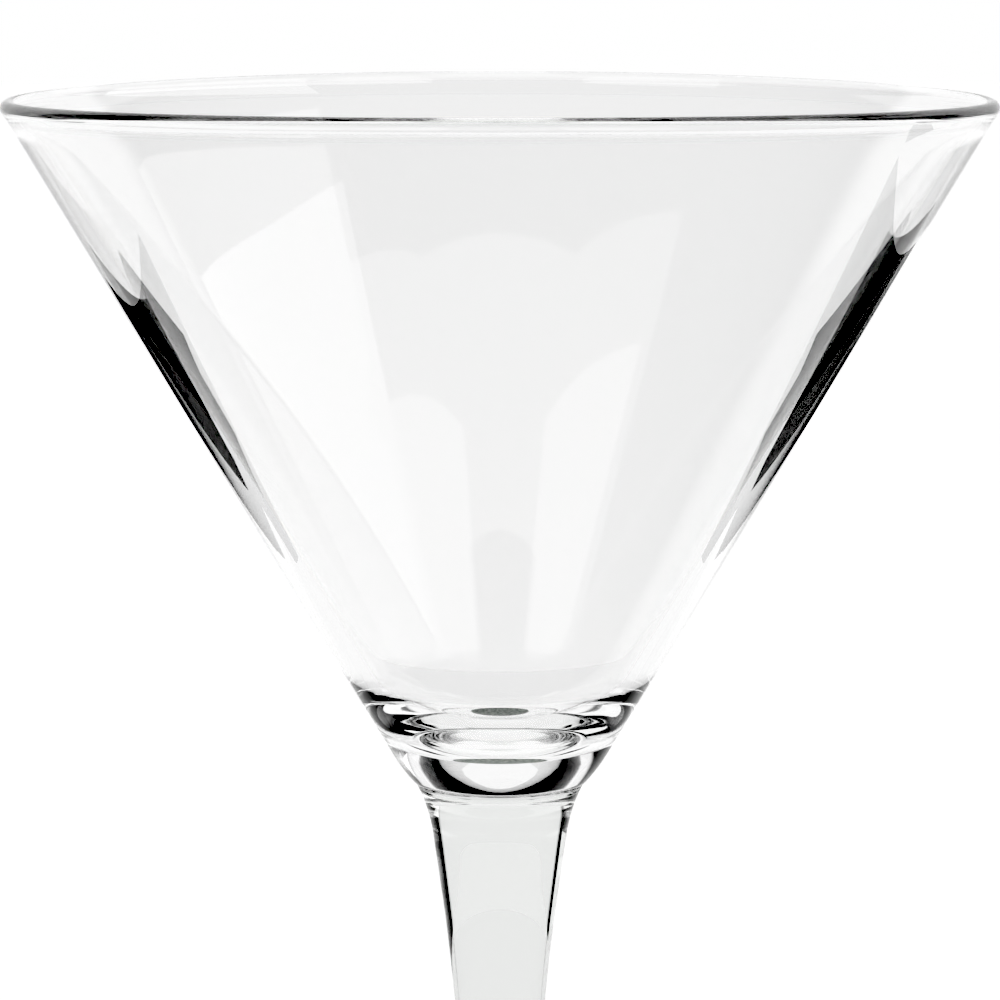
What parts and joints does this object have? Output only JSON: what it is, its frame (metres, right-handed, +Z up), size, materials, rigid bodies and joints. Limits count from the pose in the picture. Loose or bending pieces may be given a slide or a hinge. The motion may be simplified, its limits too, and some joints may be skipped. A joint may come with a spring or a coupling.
{
  "type": "martini glass",
  "caption": "Clear stemmed cocktail glass with a wide conical bowl, a thick solid floor, a solid tapering stem and a round flat foot.",
  "frame": {"origin": "centre of the foot's resting plane, on the stem's axis", "axes": "+Z up along the stem to the rim; the glass is the same all round, so +X and +Y are free"},
  "size_m": [0.115, 0.115, 0.18],
  "materials": {
    "clear_glass": "clear, fire-polished"
  },
  "bodies": {
    "root": {"bowl": "clear_glass", "stem": "clear_glass", "foot": "clear_glass"}
  },
  "joints": []
}
